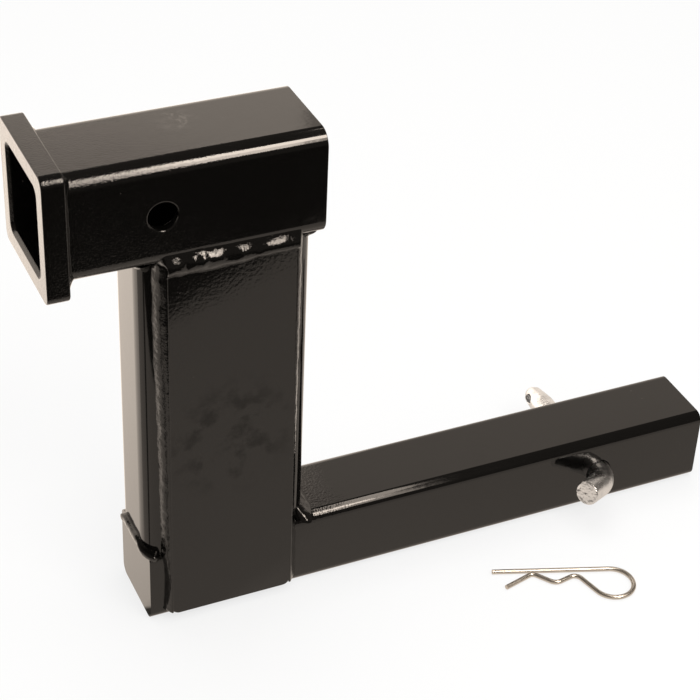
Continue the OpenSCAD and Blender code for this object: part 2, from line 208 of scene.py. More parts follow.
def powder_coat(name, peel_height, wave_height, lump_height=0.0, mark=None, spatter=None):
    """Black powder coat. The heights are those of its peel, its waves and a weld's lumps."""
    material, tree = new_material(name)
    place = add_node(tree, "ShaderNodeTexCoord").outputs["Object"]
    surface = None
    for size, detail, rough, height in ((HEAT_WAVE, 1.5, 0.5, wave_height),
                                        (ORANGE_PEEL, 1.0, 0.4, peel_height),
                                        (WELD_LUMP, 2.0, 0.55, lump_height)):
        pattern = add_node(tree, "ShaderNodeTexNoise", {
            "Vector": place, "Scale": 1 / size, "Detail": detail, "Roughness": rough})
        sockets = {"Height": pattern, "Distance": height, "Strength": 1.0}
        if surface:
            sockets["Normal"] = surface
        surface = add_node(tree, "ShaderNodeBump", sockets)
    if spatter:
        surface = spattered(tree, place, surface, spatter)
    smear = add_node(tree, "ShaderNodeTexNoise", {
        "Vector": place, "Scale": 1 / SMEAR, "Detail": 3.0, "Roughness": 0.6})
    gloss = add_node(tree, "ShaderNodeMapRange", {
        "Value": smear, "From Min": 0.35, "From Max": 0.75, "To Min": 0.055, "To Max": 0.1})
    speck = add_node(tree, "ShaderNodeTexVoronoi", {"Vector": place, "Scale": 1 / DUST_SPACING})
    dust = add_node(tree, "ShaderNodeMapRange", {
        "Value": speck, "From Min": 0.02, "From Max": 0.035, "To Min": 1.0, "To Max": 0.0})
    colour = add_node(tree, "ShaderNodeMix", {
        0: dust, 6: linear(BLACK), 7: linear(DUST)}, data_type="RGBA").outputs[2]
    skin = {"Base Color": colour, "Roughness": gloss, "Normal": surface}
    if mark:
        mask = mark_mask(tree, place, mark)
        skin["Base Color"] = add_node(tree, "ShaderNodeMix", {
            0: mask, 6: colour, 7: linear(mark["stain"])}, data_type="RGBA").outputs[2]
        if "shine" in mark:
            skin["Specular Tint"] = add_node(tree, "ShaderNodeMix", {
                0: mask, 6: WHITE, 7: linear(mark["shine"])}, data_type="RGBA").outputs[2]
    shader = add_node(tree, "ShaderNodeBsdfPrincipled", skin)
    add_node(tree, "ShaderNodeOutputMaterial", {"Surface": shader})
    return material


coat_on_tube = powder_coat("gloss_black_powder_coat", 0.006 * MM, 0.03 * MM)
coat_on_weld = powder_coat("powder_coat_over_weld", 0.006 * MM, 0.02 * MM, 0.13 * MM)
print("powder coats:", coat_on_tube.name, coat_on_weld.name)

# %% Marked coats
# Dust is rubbed into the coat on top, and weld spatter roughens it near the collar
coat_on_receiver = powder_coat(
    "powder_coat_with_dust", 0.01 * MM, 0.04 * MM,
    mark={"centre": (-17 * MM, 10 * MM, 317.5 * MM), "reach": 14 * MM, "stain": DUST},
    spatter={"axis": "X", "seam": -98 * MM, "reach": 128 * MM, "grain": 0.9 * MM,
             "height": 0.16 * MM})
# Greasy finger marks dull the gloss, and spatter roughens the coat below the upper weld
coat_on_plate = powder_coat(
    "powder_coat_with_finger_marks", 0.004 * MM, 0.03 * MM,
    mark={"centre": (-1 * MM, -32 * MM, 132 * MM), "reach": 46 * MM, "stain": BLACK,
          "shine": "#cccccc"},
    spatter={"axis": "Z", "seam": 254 * MM, "reach": 74 * MM, "grain": 2 * MM,
             "height": 0.055 * MM})
# Spatter roughens the coat on the shank next to the weld at the upright's foot
coat_on_shank = powder_coat(
    "powder_coat_with_spatter", 0.006 * MM, 0.03 * MM,
    spatter={"axis": "X", "seam": 57 * MM, "reach": 34 * MM, "grain": 1.4 * MM,
             "height": 0.12 * MM})
print("marked coats:", coat_on_receiver.name, coat_on_plate.name, coat_on_shank.name)

# %% [markdown]
# ## Bright zinc plate
#
# The pin is turned steel rod, bent hot and plated in a zinc bath. The plating is a soft,
# cloudy silver, brighter where it is rubbed and greyer in patches about a centimetre wide. The
# handle's end was sheared, which left its face torn.

# %% Zinc plate
SHEARED_END = Vector((235.2, -46.9, 30.0)) * MM  # middle of the end of the pin's handle
TORN_RADIUS = 7 * MM
TORN_FADE = 1.5 * MM
ZINC_CLOUD = 9 * MM
ZINC_GRAIN = 0.6 * MM  # coarser than the real grain, which is too fine to show
DENT = 4 * MM


def zinc_plate():
    """Plated steel with cloudy patches, shallow dents, a fine grain and a torn end face."""
    material, tree = new_material("bright_zinc_plate")
    place = add_node(tree, "ShaderNodeTexCoord").outputs["Object"]
    cloud, dent, tear, grain = (
        add_node(tree, "ShaderNodeTexNoise", {
            "Vector": place, "Scale": 1 / size, "Detail": detail, "Roughness": rough})
        for size, detail, rough in ((ZINC_CLOUD, 4.0, 0.6), (DENT, 2.0, 0.5),
                                    (DENT, 2.0, 0.6), (ZINC_GRAIN, 2.0, 0.6)))
    away = add_node(tree, "ShaderNodeVectorMath", {
        0: place, 1: SHEARED_END}, operation="DISTANCE").outputs["Value"]
    torn = add_node(tree, "ShaderNodeMapRange", {
        "Value": away, "From Min": TORN_RADIUS, "From Max": TORN_RADIUS + TORN_FADE,
        "To Min": 0.8 * MM, "To Max": 0.0})
    dented = add_node(tree, "ShaderNodeBump", {
        "Height": dent, "Distance": 0.4 * MM, "Strength": 1.0})
    ragged = add_node(tree, "ShaderNodeBump", {
        "Height": tear, "Distance": torn, "Strength": 1.0, "Normal": dented})
    surface = add_node(tree, "ShaderNodeBump", {
        "Height": grain, "Distance": 0.03 * MM, "Strength": 0.7, "Normal": ragged})
    colour = add_node(tree, "ShaderNodeMix", {
        0: cloud, 6: linear("#d6dade"), 7: WHITE}, data_type="RGBA").outputs[2]
    gloss = add_node(tree, "ShaderNodeMapRange", {
        "Value": cloud, "From Min": 0.3, "From Max": 0.7, "To Min": 0.42, "To Max": 0.22})
    shader = add_node(tree, "ShaderNodeBsdfPrincipled", {
        "Base Color": colour, "Metallic": 1.0, "Roughness": gloss, "Normal": surface})
    add_node(tree, "ShaderNodeOutputMaterial", {"Surface": shader})
    return material


zinc = zinc_plate()
print("zinc:", zinc.name)

# %% [markdown]
# ## Bright drawn wire
#
# The clip is hard spring wire. Drawing it through a die leaves fine lines along its length,
# so the pattern is read from the wire's own map, long along the wire and short round it.

# %% Drawn wire
DRAWING_LINE = 0.25 * MM  # coarser than the real lines, which are too fine to show
LINE_STRETCH = 0.02  # the pattern's rate along the wire, as a share of its rate round it


def drawn_wire():
    """Bright steel wire with drawing lines along the map's first direction."""
    material, tree = new_material("bright_drawn_wire")
    chart = add_node(tree, "ShaderNodeUVMap", uv_map="wire_map")
    stretched = add_node(tree, "ShaderNodeMapping", {
        "Vector": chart, "Scale": (LINE_STRETCH, 1.0, 1.0)})
    lines = add_node(tree, "ShaderNodeTexNoise", {
        "Vector": stretched, "Scale": 1 / DRAWING_LINE, "Detail": 2.0})
    gloss = add_node(tree, "ShaderNodeMapRange", {
        "Value": lines, "From Min": 0.3, "From Max": 0.7, "To Min": 0.24, "To Max": 0.38})
    surface = add_node(tree, "ShaderNodeBump", {
        "Height": lines, "Distance": 0.01 * MM, "Strength": 0.6})
    colour = add_node(tree, "ShaderNodeMix", {
        0: lines, 6: linear("#c4bdb3"), 7: linear("#ece8e1")}, data_type="RGBA").outputs[2]
    shader = add_node(tree, "ShaderNodeBsdfPrincipled", {
        "Base Color": colour, "Metallic": 1.0, "Roughness": gloss, "Normal": surface})
    add_node(tree, "ShaderNodeOutputMaterial", {"Surface": shader})
    return material


wire_finish = drawn_wire()
print("wire:", wire_finish.name)

# %% [markdown]
# ## Tubes, plates and collar with broken edges
#
# Sawn and sheared steel is deburred before it is coated, and the coat rounds it further, so
# no edge is sharp. The CAD pieces have the right shape but razor edges. Each gets a merged
# copy with a narrow bevel, whose normals lean on the large flat faces so that these stay
# flat in a reflection. Where two pieces end flush in one plane, the seam between them was
# ground and coated over, so those edges are left without a bevel and don't show.

# %% Finished copies of the CAD pieces
SAME_PLACE = 0.002 * MM
IN_PLANE = 0.01 * MM
FLAT_ANGLE = math.radians(0.4)
SHARP_ANGLE = math.radians(40)


def is_flush(edge, flush, middle_z):
    """Whether an edge lies in a flush seam: on the plane x, between faces of the given side."""
    x, side = flush
    if any(abs(vert.co.x - x) > IN_PLANE for vert in edge.verts):
        return False
    middle = (edge.verts[0].co + edge.verts[1].co) / 2
    outward = Vector((0, middle.y, middle.z - middle_z))
    return any(abs(face.normal.x) < 0.5 and face.normal.dot(outward) * side > 0
               for face in edge.link_faces)


def finished_copy(node, bevel_width, finish, flush=None):
    """A merged copy of a CAD piece with rounded edges, standing for that piece."""
    mesh = frame["nodes"][node].data.copy()
    shape = bmesh.new()
    shape.from_mesh(mesh)
    bmesh.ops.remove_doubles(shape, verts=shape.verts, dist=SAME_PLACE)
    bmesh.ops.dissolve_limit(shape, angle_limit=FLAT_ANGLE, verts=shape.verts,
                             edges=shape.edges, use_dissolve_boundaries=False)
    for face in shape.faces:
        face.smooth = True
    weight = shape.edges.layers.float.new("bevel_weight_edge")
    low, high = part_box(node)
    for edge in shape.edges:
        if edge.is_manifold and edge.calc_face_angle() > SHARP_ANGLE:
            if flush and is_flush(edge, flush, (low[2] + high[2]) / 2):
                edge.smooth = False
            else:
                edge[weight] = 1.0
    shape.to_mesh(mesh)
    shape.free()
    mesh.materials.clear()
    mesh.materials.append(finish)
    piece = add_object(node + "_coated", mesh)
    broken = piece.modifiers.new("broken_edges", "BEVEL")
    broken.width = bevel_width
    broken.segments = 3
    broken.limit_method = "WEIGHT"
    broken.harden_normals = True
    even = piece.modifiers.new("flat_faces", "WEIGHTED_NORMAL")
    even.mode = "FACE_AREA"
    even.weight = 100
    even.keep_sharp = True
    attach(piece, frame["nodes"][node]["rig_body"])
    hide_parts(node)
    print(piece.name, len(mesh.polygons), "faces")


print("edges sharper than", round(math.degrees(SHARP_ANGLE)), "degrees are broken")

# %% Tubes, plates and collar
SAWN_EDGE = 0.5 * MM
SHEARED_EDGE = 0.9 * MM
MOUTH_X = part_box("receiver_tube")[0][0]
CLOSED_END_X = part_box("shank_tube")[0][0]
for node, width, coat, flush in (
        ("receiver_tube", SAWN_EDGE, coat_on_receiver, (MOUTH_X, 1)),
        ("receiver_collar", SHEARED_EDGE, coat_on_receiver, (MOUTH_X, -1)),
        ("shank_tube", SAWN_EDGE, coat_on_shank, (CLOSED_END_X, -1)),
        ("shank_end_cap", SAWN_EDGE, coat_on_tube, (CLOSED_END_X, 1)),
        ("upright_tube", SAWN_EDGE, coat_on_tube, None),
        ("near_side_plate", SHEARED_EDGE, coat_on_plate, None),
        ("far_side_plate", SHEARED_EDGE, coat_on_tube, None)):
    finished_copy(node, width, coat, flush)

# %% [markdown]
# ## Trees that shape a mesh
#
# Geometry Nodes make what repeats or follows a path: here the ripples on the welds and the
# clip's wire. Both trees start with named inputs, take a mesh in and give a whole mesh out,
# with its material on it. The result is then kept as a plain mesh.

# %% Shaping helpers
def new_shaper(name, **inputs):
    """A Geometry Nodes tree with its named inputs, and the outputs of its group input."""
    tree = bpy.data.node_groups.new(name, "GeometryNodeTree")
    for label, kind in {"Geometry": "Geometry", **inputs}.items():
        tree.interface.new_socket(label, in_out="INPUT", socket_type="NodeSocket" + kind)
    tree.interface.new_socket("Geometry", in_out="OUTPUT", socket_type="NodeSocketGeometry")
    return tree, add_node(tree, "NodeGroupInput").outputs


def end_shaper(tree, geometry, finish):
    """Ends a tree with real geometry in its material, because the export drops instances."""
    whole = add_node(tree, "GeometryNodeRealizeInstances", {"Geometry": geometry})
    finished = add_node(tree, "GeometryNodeSetMaterial", {"Geometry": whole, "Material": finish})
    add_node(tree, "NodeGroupOutput", {"Geometry": finished})


def shaped(name, mesh, tree, **values):
    """A new object: the mesh as the tree shapes it, kept as a plain mesh."""
    piece = add_object(name, mesh)
    shaping = piece.modifiers.new("shaping", "NODES")
    shaping.node_group = tree
    for item in tree.interface.items_tree:
        if item.in_out == "INPUT" and item.name in values:
            shaping[item.identifier] = values[item.name]
    depsgraph = bpy.context.evaluated_depsgraph_get()
    piece.data = bpy.data.meshes.new_from_object(piece.evaluated_get(depsgraph))
    piece.modifiers.clear()
    return piece


print("node groups so far:", len(bpy.data.node_groups))

# %% [markdown]
# ## Weld beads
#
# A weld is a frozen river of metal: it follows its seam, and each pulse of the torch leaves a
# curved ripple across it. The bead's smooth form is a strip of cross sections, set along the
# seam and sunk a little into the steel at both toes. Geometry Nodes then push the ripples up,
# because they repeat along the bead. Each point of the strip carries how far along and how
# far across the bead it is, and the ripples are counted from those two numbers.

# %% Ripple tree
RIPPLE_PITCH = 3.2 * MM
RIPPLE_HEIGHT = 0.05 * MM
RIPPLE_LEAD = 2 * MM  # how far a ripple runs ahead in the middle of the bead
SWAYS_PER_METRE = 110.0  # one in 9.1 mm
LUMPS_PER_METRE = 190.0  # one in 5.3 mm
SWAY = 1.6  # how far the ripples drift, in ripples


def ripple_tree():
    """Geometry Nodes: pushes curved ripples and lumps out of a bead."""
    tree, given = new_shaper("weld_ripples", Pitch="Float", Height="Float", Lead="Float",
                             Lump="Float", Seed="Int", Paint="Material")
    along, across = (add_node(tree, "GeometryNodeInputNamedAttribute", {"Name": label})
                     for label in ("along", "across"))
    square = add_node(tree, "ShaderNodeMath", {0: across, 1: across}, operation="MULTIPLY")
    middle = add_node(tree, "ShaderNodeMath", {0: 1.0, 1: square}, operation="SUBTRACT")
    # The ripples are counted along the bead, and drift a little
    drift = add_node(tree, "ShaderNodeMath", {
        0: along, 1: SWAYS_PER_METRE, 2: given["Seed"]}, operation="MULTIPLY_ADD")
    sway = add_node(tree, "ShaderNodeTexNoise", {"W": drift, "Scale": 1.0}, noise_dimensions="1D")
    swayed = add_node(tree, "ShaderNodeMath", {0: sway, 1: SWAY}, operation="MULTIPLY")
    ahead = add_node(tree, "ShaderNodeMath", {0: given["Lead"], 1: -1.0}, operation="MULTIPLY")
    curved = add_node(tree, "ShaderNodeMath", {
        0: middle, 1: ahead, 2: along}, operation="MULTIPLY_ADD")
    steady = add_node(tree, "ShaderNodeMath", {0: curved, 1: given["Pitch"]}, operation="DIVIDE")
    count = add_node(tree, "ShaderNodeMath", {0: steady, 1: swayed}, operation="ADD")
    # Each ripple rises steeply and falls slowly
    part = add_node(tree, "ShaderNodeMath", {0: count}, operation="FRACT")
    steep = add_node(tree, "ShaderNodeMath", {0: part, 1: 3.0}, operation="MULTIPLY")
    rest = add_node(tree, "ShaderNodeMath", {0: 1.0, 1: part}, operation="SUBTRACT")
    slow = add_node(tree, "ShaderNodeMath", {0: rest, 1: 1.5}, operation="MULTIPLY")
    rise = add_node(tree, "ShaderNodeMath", {0: steep, 1: slow, 2: 0.3}, operation="SMOOTH_MIN")
    centred = add_node(tree, "ShaderNodeMath", {0: rise, 1: 0.5}, operation="SUBTRACT")
    # No two ripples have the same height
    number = add_node(tree, "ShaderNodeMath", {0: count}, operation="FLOOR")
    drawn = add_node(tree, "ShaderNodeMath", {0: number, 1: given["Seed"]}, operation="ADD")
    pulse = add_node(tree, "ShaderNodeTexWhiteNoise", {"W": drawn}, noise_dimensions="1D")
    share = add_node(tree, "ShaderNodeMath", {0: pulse, 1: 0.8, 2: 0.5}, operation="MULTIPLY_ADD")
    strength = add_node(tree, "ShaderNodeMath", {
        0: share, 1: given["Height"]}, operation="MULTIPLY")
    lump = add_node(tree, "ShaderNodeTexNoise", {
        "Vector": add_node(tree, "GeometryNodeInputPosition"), "W": given["Seed"],
        "Scale": LUMPS_PER_METRE, "Detail": 1.5}, noise_dimensions="4D")
    swell = add_node(tree, "ShaderNodeMath", {0: lump, 1: 0.5}, operation="SUBTRACT")
    lumpy = add_node(tree, "ShaderNodeMath", {0: swell, 1: given["Lump"]}, operation="MULTIPLY")
    both = add_node(tree, "ShaderNodeMath", {
        0: centred, 1: strength, 2: lumpy}, operation="MULTIPLY_ADD")
    push = add_node(tree, "ShaderNodeMath", {0: middle, 1: both}, operation="MULTIPLY")
    offset = add_node(tree, "ShaderNodeVectorMath", {
        0: add_node(tree, "GeometryNodeInputNormal"), "Scale": push}, operation="SCALE")
    moved = add_node(tree, "GeometryNodeSetPosition", {
        "Geometry": given["Geometry"], "Offset": offset})
    smooth = add_node(tree, "GeometryNodeSetShadeSmooth", {"Geometry": moved})
    end_shaper(tree, smooth, given["Paint"])
    return tree


ripples = ripple_tree()
print("ripple tree:", len(ripples.nodes), "nodes")

# %% Smooth lines
CROWN_POINTS = 26
CURVE_STEPS = 12


def lengths_along(points):
    """How far each point lies along the line that runs through the points."""
    return np.concatenate([[0], np.cumsum(np.linalg.norm(np.diff(points, axis=0), axis=1))])


def smooth_line(points, count):
    """Points resampled evenly on a smooth curve through them."""
    points = np.array(points, float)
    padded = np.vstack([2 * points[0] - points[1], points, 2 * points[-1] - points[-2]])
    fine = []
    for i in range(1, len(padded) - 2):
        a, b, c, d = padded[i - 1:i + 3]
        for t in np.linspace(0, 1, CURVE_STEPS, endpoint=False):
            fine.append(0.5 * (2 * b + (c - a) * t + (2 * a - 5 * b + 4 * c - d) * t ** 2
                               + (3 * b - a - 3 * c + d) * t ** 3))
    fine = np.array(fine + [points[-1]])
    length = lengths_along(fine)
    even = np.linspace(0, length[-1], count)
    return np.stack([np.interp(even, length, fine[:, k]) for k in range(fine.shape[1])], 1)


print("a smooth bend:", smooth_line([(0, 0), (1, 1), (2, 0)], 5).round(2).tolist())


# %% Bead strip
def bead(name, stations, crowns, nodes, seed, closed=False, height=RIPPLE_HEIGHT,
         pitch=RIPPLE_PITCH, lump=0.5 * MM):
    """A weld bead, in mm. A station is (place, out, up); its crown holds (out, up) pairs."""
    rows = []
    for (place, out, up), crown in zip(stations, crowns):
        line = smooth_line(crown, CROWN_POINTS)
        rows.append(np.array(place) + line[:, :1] * np.array(out) + line[:, 1:] * np.array(up))
    rows = np.array(rows)
    along = lengths_along(np.array([station[0] for station in stations]))
    sections, points = rows.shape[:2]
    faces = []
    for i in range(sections if closed else sections - 1):
        first, second = i * points, (i + 1) % sections * points
        faces += [(first + j, second + j, second + j + 1, first + j + 1)
                  for j in range(points - 1)]
    if not closed:
        last = (sections - 1) * points
        faces += [tuple(range(points)), tuple(last + j for j in reversed(range(points)))]
    mesh = bpy.data.meshes.new(name)
    mesh.from_pydata((rows.reshape(-1, 3) * MM).tolist(), [], faces)
    for label, values in (("along", np.repeat(along * MM, points)),
                          ("across", np.tile(np.linspace(-1, 1, points), sections))):
        mesh.attributes.new(label, "FLOAT", "POINT").data.foreach_set("value", values)
    piece = shaped(name, mesh, ripples, Pitch=pitch, Height=height, Lead=RIPPLE_LEAD,
                   Lump=lump, Seed=seed, Paint=coat_on_weld)
    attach(piece, "hitch")
    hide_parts(*nodes)
    print(name, len(piece.data.polygons), "faces")


print("a bead has", CROWN_POINTS, "points across")

# %% [markdown]
# ## The seams
#
# The places of the seams are read from the CAD pieces that they join, in millimetres.

# %% Seam places
def box_mm(node):
    """Lowest and highest corner of a CAD piece in mm."""
    low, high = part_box(node)
    return np.array(low) / MM, np.array(high) / MM


plate_low, plate_high = box_mm("near_side_plate")
upright_low, upright_high = box_mm("upright_tube")
receiver_low, receiver_high = box_mm("receiver_tube")
collar_back_x = box_mm("receiver_collar")[1][0]
shank_low, shank_high = box_mm("shank_tube")
seam_z = upright_high[2]
foot_z = upright_low[2]
plate_back_y = plate_high[1]
print("seam under the receiver at", round(seam_z, 2), "mm")

# %% [markdown]
# ## The weld round each plate
#
# The welder went up one edge of the plate, along its top and down the other edge. So the bead
# is one strip: its place follows the plate's outline, and at the two upper corners it turns
# on the spot. Beside the plate it fills the step down to the tube, steep at the tube and
# shallow near the plate. Above the plate it is fatter, because it bridges the gap to the
# receiver's round corner, and its lower toe wanders over the plate's face.

# %% Smooth random lines
STEP = 0.8  # from one cross section of a bead to the next
CORNER_STEPS = 14  # cross sections round a corner


def smooth_interp(values, knots, levels):
    """Interpolation with eased steps."""
    i = np.clip(np.searchsorted(knots, values) - 1, 0, len(knots) - 2)
    t = (values - knots[i]) / (knots[i + 1] - knots[i])
    t = np.clip(t * t * (3 - 2 * t), 0, 1)
    return levels[i] * (1 - t) + levels[i + 1] * t


def wander(values, seed, size, spacing):
    """A smooth random line over the values, with a new level at each spacing."""
    random = np.random.default_rng(seed)
    knots = np.arange(values.min() - 2 * spacing, values.max() + 3 * spacing, spacing)
    return smooth_interp(values, knots, random.uniform(-size, size, len(knots)))


print("a sample:", wander(np.arange(4) * STEP, 1, 1, 5).round(2))

# %% Cross sections of the plate beads
# Crowns hold how far a point lies from the plate's outline and from the plate's back face.
SIDE_CROWN = np.array([(7.7, -4.2), (6.7, -2.9), (5.8, -1.6), (5.1, -0.1), (4.3, 1.6), (3.4, 3.1),
                       (2.1, 4.6), (0.8, 5.8), (-0.3, 6.5), (-1.1, 6.1)])
SHANK_CROWN = np.array([(7.7, -2.3), (6.9, -0.4), (5.8, 0.9), (4.6, 2.1), (3.4, 3.3), (2.2, 4.5),
                        (1.1, 5.6), (0.3, 6.3), (-0.3, 6.5), (-1.1, 6.1)])
FLAT_CROWN = np.array([(9.2, 5.4), (7.5, 6.1), (5.6, 6.9), (3.6, 7.6), (1.5, 8.3), (-0.6, 8.8),
                       (-2.6, 8.9), (-4.2, 8.3), (-6.0, 7.2), (-7.3, 6.1)])
FULL_CROWN = np.array([(9.2, 5.4), (7.5, 6.1), (6.0, 6.8), (4.6, 7.9), (3.1, 9.3), (1.4, 10.0),
                       (-1.2, 9.9), (-3.8, 8.7), (-6.0, 7.2), (-7.3, 6.1)])
# How full the upper bead is along the shank: it's fullest where the torch paused
FULL_X = np.array([-40, -36, -31, -27, -23, -18, -9, -4, 0, 4, 8, 13, 18, 23, 29, 34, 38])
FULL = np.array([0, 0.5, 0.6, 0.1, 0.9, 1.1, 1.0, 0.2, 0.1, 0.8, 0.7, 0.1, 0.8, 0.9, 0.8, 0.6, 0])
# Width of the bead beside the plate, at heights above the ground
SIDE_Z = np.array([0, 13, 22, 30, 40, 50, 110, 170, 200, 256])
LEFT_WIDTH = np.array([4.3, 4.2, 3.1, 2.6, 3.2, 4.6, 4.9, 5.8, 6.5, 6.1])
RIGHT_WIDTH = np.array([5.8, 5.8, 5.6, 5.5, 5.4, 4.8, 4.9, 5.4, 5.8, 6.1])
# How far the lower toe of the upper bead reaches down the plate, along the shank
TOE_X = np.array([-45, -36, -20, -13, 5, 12, 30, 36, 45])
TOE_DROP = np.array([7.0, 7.3, 7.2, 7.8, 6.9, 5.6, 5.4, 5.0, 4.9])
# The last two points of a side crown and the last four of an upper one lie over the plate
SIDE_WIDTH = 6.5  # of the side crowns as they are written above
FLAT_DROP = 7.3  # of the upper crowns as they are written above
FOOT_MARGIN = 3  # how far above the shank its crown is still used, right of the plate
TOE_RISE = 1.9  # of the outer toe beside the shank, left of the plate
BEAD_START = 1.5  # above the plate's lower edge
print("the side bead is", LEFT_WIDTH.min(), "to", LEFT_WIDTH.max(), "mm wide")


# %% Plate beads
def plate_outline():
    """Stations up one side, over the top and down the other: place, out and share of top."""
    left, right, top = plate_low[0], plate_high[0], seam_z
    rise = np.arange(plate_low[2] + BEAD_START, top, STEP)
    turn = np.linspace(0, math.pi / 2, CORNER_STEPS)[1:-1]
    over = np.arange(left, right + STEP / 2, STEP)
    rows = [((left, z), (-1, 0), 0.0) for z in rise]
    rows += [((left, top), (-math.cos(t), math.sin(t)), t / (math.pi / 2)) for t in turn]
    rows += [((x, top), (0, 1), 1.0) for x in over]
    rows += [((right, top), (math.sin(t), math.cos(t)), 1 - t / (math.pi / 2)) for t in turn]
    rows += [((right, z), (1, 0), 0.0) for z in rise[::-1]]
    return rows


def plate_bead(name, nodes, y_sign, seed):
    """The weld round one plate."""
    rows = plate_outline()
    way = np.arange(len(rows)) * STEP
    width_wave = wander(way, seed, 0.2, 5) + wander(way, seed + 4, 0.2, 11)
    edge_wave = wander(way, seed + 1, 0.2, 5)
    toe_wave = wander(way, seed + 2, 0.5, 4)
    bulge_wave = wander(way, seed + 3, 0.3, 4)
    stations, crowns = [], []
    for i, ((x, z), (out_x, out_z), share) in enumerate(rows):
        side = (SHANK_CROWN if x > 0 and z < shank_high[2] + FOOT_MARGIN else SIDE_CROWN).copy()
        width = np.interp(z, SIDE_Z, LEFT_WIDTH if x < 0 else RIGHT_WIDTH) + width_wave[i]
        side[:-2, 0] *= width / SIDE_WIDTH
        side[:2, 1] += TOE_RISE * (x < 0 and z < shank_high[2])
        side[-2:, 0] -= edge_wave[i]
        full = np.interp(x, FULL_X, FULL)
        top = FLAT_CROWN * (1 - full) + FULL_CROWN * full
        drop = np.interp(x, TOE_X, TOE_DROP) + toe_wave[i]
        top[-4:, 0] *= drop / FLAT_DROP
        top[3:7, 1] += bulge_wave[i]
        ease = share * share * (3 - 2 * share)
        crown = side * (1 - ease) + top * ease
        stations.append(((x, abs(plate_back_y) * y_sign, z), (out_x, 0, out_z), (0, y_sign, 0)))
        crowns.append(crown if y_sign > 0 else crown[::-1])
    bead(name, stations, crowns, nodes, seed, height=0.08 * MM, pitch=2.4 * MM, lump=0.7 * MM)


plate_bead("near_plate_bead", ["near_plate_left_weld", "near_plate_top_weld",
                               "near_plate_right_weld"], -1, 11)
plate_bead("far_plate_bead", ["far_plate_left_weld", "far_plate_top_weld",
                              "far_plate_right_weld"], 1, 37)

# %% [markdown]
# ## Bead behind the collar
#
# The collar is welded to the tube all round its back edge. The bead is a slim, slightly hollow
# fillet: it stands on the tube and leans on the collar's back face.

# %% Collar bead
COLLAR_CROWN = np.array([(4.0, -0.5), (3.6, 0.2), (2.7, 0.8), (1.7, 1.4), (0.8, 2.0), (0.2, 2.5),
                         (-0.5, 2.9)])


def ring_round(width, corner, x, middle):
    """Stations round a square tube, in the plane at x: their places and outward directions."""
    rows = []
    flat = width / 2 - corner
    for quarter in range(4):
        angle = quarter * math.pi / 2
        out = np.array([math.cos(angle), math.sin(angle)])
        along = np.array([-math.sin(angle), math.cos(angle)])
        for t in np.arange(-flat, flat, STEP):
            rows.append((out * width / 2 + along * t, out))
        centre = (out + along) * flat
        for turn in np.linspace(0, math.pi / 2, CORNER_STEPS):
            turned = out * math.cos(turn) + along * math.sin(turn)
            rows.append((centre + turned * corner, turned))
    return [((x, middle[0] + place[0], middle[1] + place[1]), (0, out[0], out[1]))
            for place, out in rows]


RECEIVER_CORNER = 9.5  # as in the CAD
RING_CLOSE = 12
receiver_mid_z = (receiver_low[2] + receiver_high[2]) / 2
ring = ring_round(receiver_high[2] - receiver_low[2], RECEIVER_CORNER, collar_back_x,
                  (0, receiver_mid_z))
size_wave = wander(np.arange(len(ring)) * STEP, 71, 0.5, 6)
# Over the last stretch the size runs back to where it began, so that the ring closes
size_wave[-RING_CLOSE:] = np.linspace(size_wave[-RING_CLOSE], size_wave[0], RING_CLOSE)
# The bead is fuller at the corners, where the torch slowed down to turn
corner_share = [(2 * abs(out[1] * out[2])) ** 2 for place, out in ring]
bead("collar_bead", [(place, out, (1, 0, 0)) for place, out in ring],
     [COLLAR_CROWN[::-1] * (1 + 0.25 * w + 0.7 * c) for w, c in zip(size_wave, corner_share)],
     ["collar_weld"], 71, closed=True)

# %% [markdown]
# ## Beads at the upright's foot and head
#
# Over the closed end the seam between upright and shank is flush, so its bead is a low ridge.
# It wraps round both corners, where the tube's round corner leaves a ledge on the shank. The
# other beads lie in inner corners and are plain fillets.

# %% Foot and head beads
UPRIGHT_CORNER = 13.5  # as in the CAD
SHANK_INSET = shank_low[0] - upright_low[0]
END_SHARE = 0.88  # the share of a bead's half at which it starts to shrink
END_SHRINK = 0.75
SEAM_CROWN = np.array([(-0.8, 4.4), (0.1, 3.8), (0.9, 3.4), (1.7, 3.3), (2.2, 2.9), (2.4, 2.0),
                       (2.3, 0.4), (2.0, -1.2), (1.0, -2.6), (-1.0 - SHANK_INSET, -4.0)])
FILLET_CROWN = np.array([(-1.0, 7.8), (0.6, 6.6), (1.9, 5.2), (3.3, 3.7), (4.9, 2.3), (6.4, 0.8),
                         (7.6, -1.0)])


def foot_stations(sign_x, near_wrap, far_wrap, swell, drop):
    """Stations round one side of the upright, turned round its corners, and their shares."""
    flat = upright_high[1] - UPRIGHT_CORNER
    near, far = (flat + UPRIGHT_CORNER * math.radians(wrap) for wrap in (near_wrap, far_wrap))
    first, last = (-near, far) if sign_x < 0 else (-far, near)
    rows, shares = [], []
    for t in np.linspace(first, last, int((last - first) / STEP)):
        side = -sign_x * math.copysign(1, t)
        angle = max(0, abs(t) - flat) / UPRIGHT_CORNER
        out = np.array([sign_x * math.cos(angle), side * math.sin(angle), 0])
        centre = np.array([sign_x * (upright_high[0] - UPRIGHT_CORNER), side * min(abs(t), flat),
                           foot_z - drop * math.sin(angle)])
        rows.append((centre + UPRIGHT_CORNER * out, (1 + swell * math.sin(angle)) * out,
                     (0, 0, 1)))
        shares.append(t / last if t > 0 else t / first)
    return rows, shares


def shrunk_ends(crown, shares, seed, wave):
    """Copies of a crown, which wander in size and shrink towards the bead's two ends."""
    sizes = 1 + wander(np.arange(len(shares)) * STEP, seed, wave, 5)
    return [crown * size * (1 - END_SHRINK * max(0, (share - END_SHARE) / (1 - END_SHARE)) ** 2)
            for share, size in zip(shares, sizes)]


